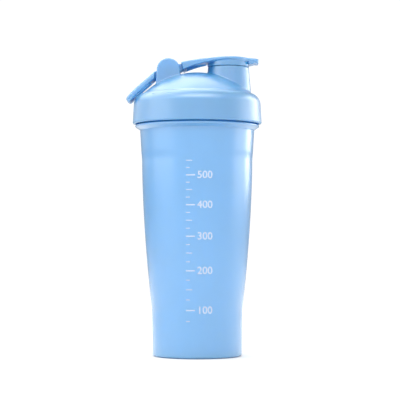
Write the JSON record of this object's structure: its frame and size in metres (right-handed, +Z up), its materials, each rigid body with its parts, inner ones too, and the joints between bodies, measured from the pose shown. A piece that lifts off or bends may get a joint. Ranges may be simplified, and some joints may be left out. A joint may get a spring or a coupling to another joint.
{
  "type": "shaker bottle",
  "caption": "Tapered drinking cup with a screw-on lid, a flip cap over a round spout, a carry loop and a loose wire whisk ball.",
  "frame": {"origin": "centre of the face that the cup stands on", "axes": "+Z up along the cup's axis, +X from the hinge towards the spout"},
  "size_m": [0.1001, 0.0958, 0.2203],
  "materials": {
    "cup_plastic": "frosted translucent blue polypropylene",
    "lid_plastic": "fine matte moulded pale blue polypropylene",
    "cap_plastic": "fine matte moulded pale blue polypropylene",
    "loop_plastic": "fine matte moulded pale blue polypropylene",
    "lid_seal_silicone": "soft translucent silicone",
    "spout_seal_silicone": "soft translucent silicone",
    "pin_steel": "ground stainless steel",
    "whisk_steel": "polished stainless steel wire"
  },
  "bodies": {
    "cup_body": {"cup": "cup_plastic"},
    "seal_body": {"lid_seal": "lid_seal_silicone"},
    "lid_body": {"lid": "lid_plastic", "hinge_pin": "pin_steel"},
    "cap_body": {"flip_cap": "cap_plastic", "spout_seal": "spout_seal_silicone"},
    "loop_body": {"carry_loop": "loop_plastic"},
    "ball_body": {"whisk_ball": "whisk_steel"}
  },
  "joints": [
    {"name": "lid_rise", "type": "slide", "parent": "cup_body", "child": "seal_body", "axis": [0, 0, 1], "range_m": [0, 0.0241]},
    {"name": "lid_turn", "type": "hinge", "parent": "seal_body", "child": "lid_body", "pos_m": [0, 0, 0.18], "axis": [0, 0, 1], "range_deg": [0, 1440]},
    {"name": "cap_flip", "type": "hinge", "parent": "lid_body", "child": "cap_body", "pos_m": [-0.0212, 0, 0.2107], "axis": [0, -1, 0], "range_deg": [0, 95]},
    {"name": "loop_swing", "type": "hinge", "parent": "lid_body", "child": "loop_body", "pos_m": [-0.0212, 0, 0.2107], "axis": [0, 1, 0], "range_deg": [0, 42]},
    {"name": "ball_rise", "type": "slide", "parent": "cup_body", "child": "ball_body", "axis": [0, 0, 1], "range_m": [0, 0.12]}
  ],
  "couplings": [
    {"joint": "lid_rise", "follows": "lid_turn", "m_per_rad": 0.00095493}
  ]
}
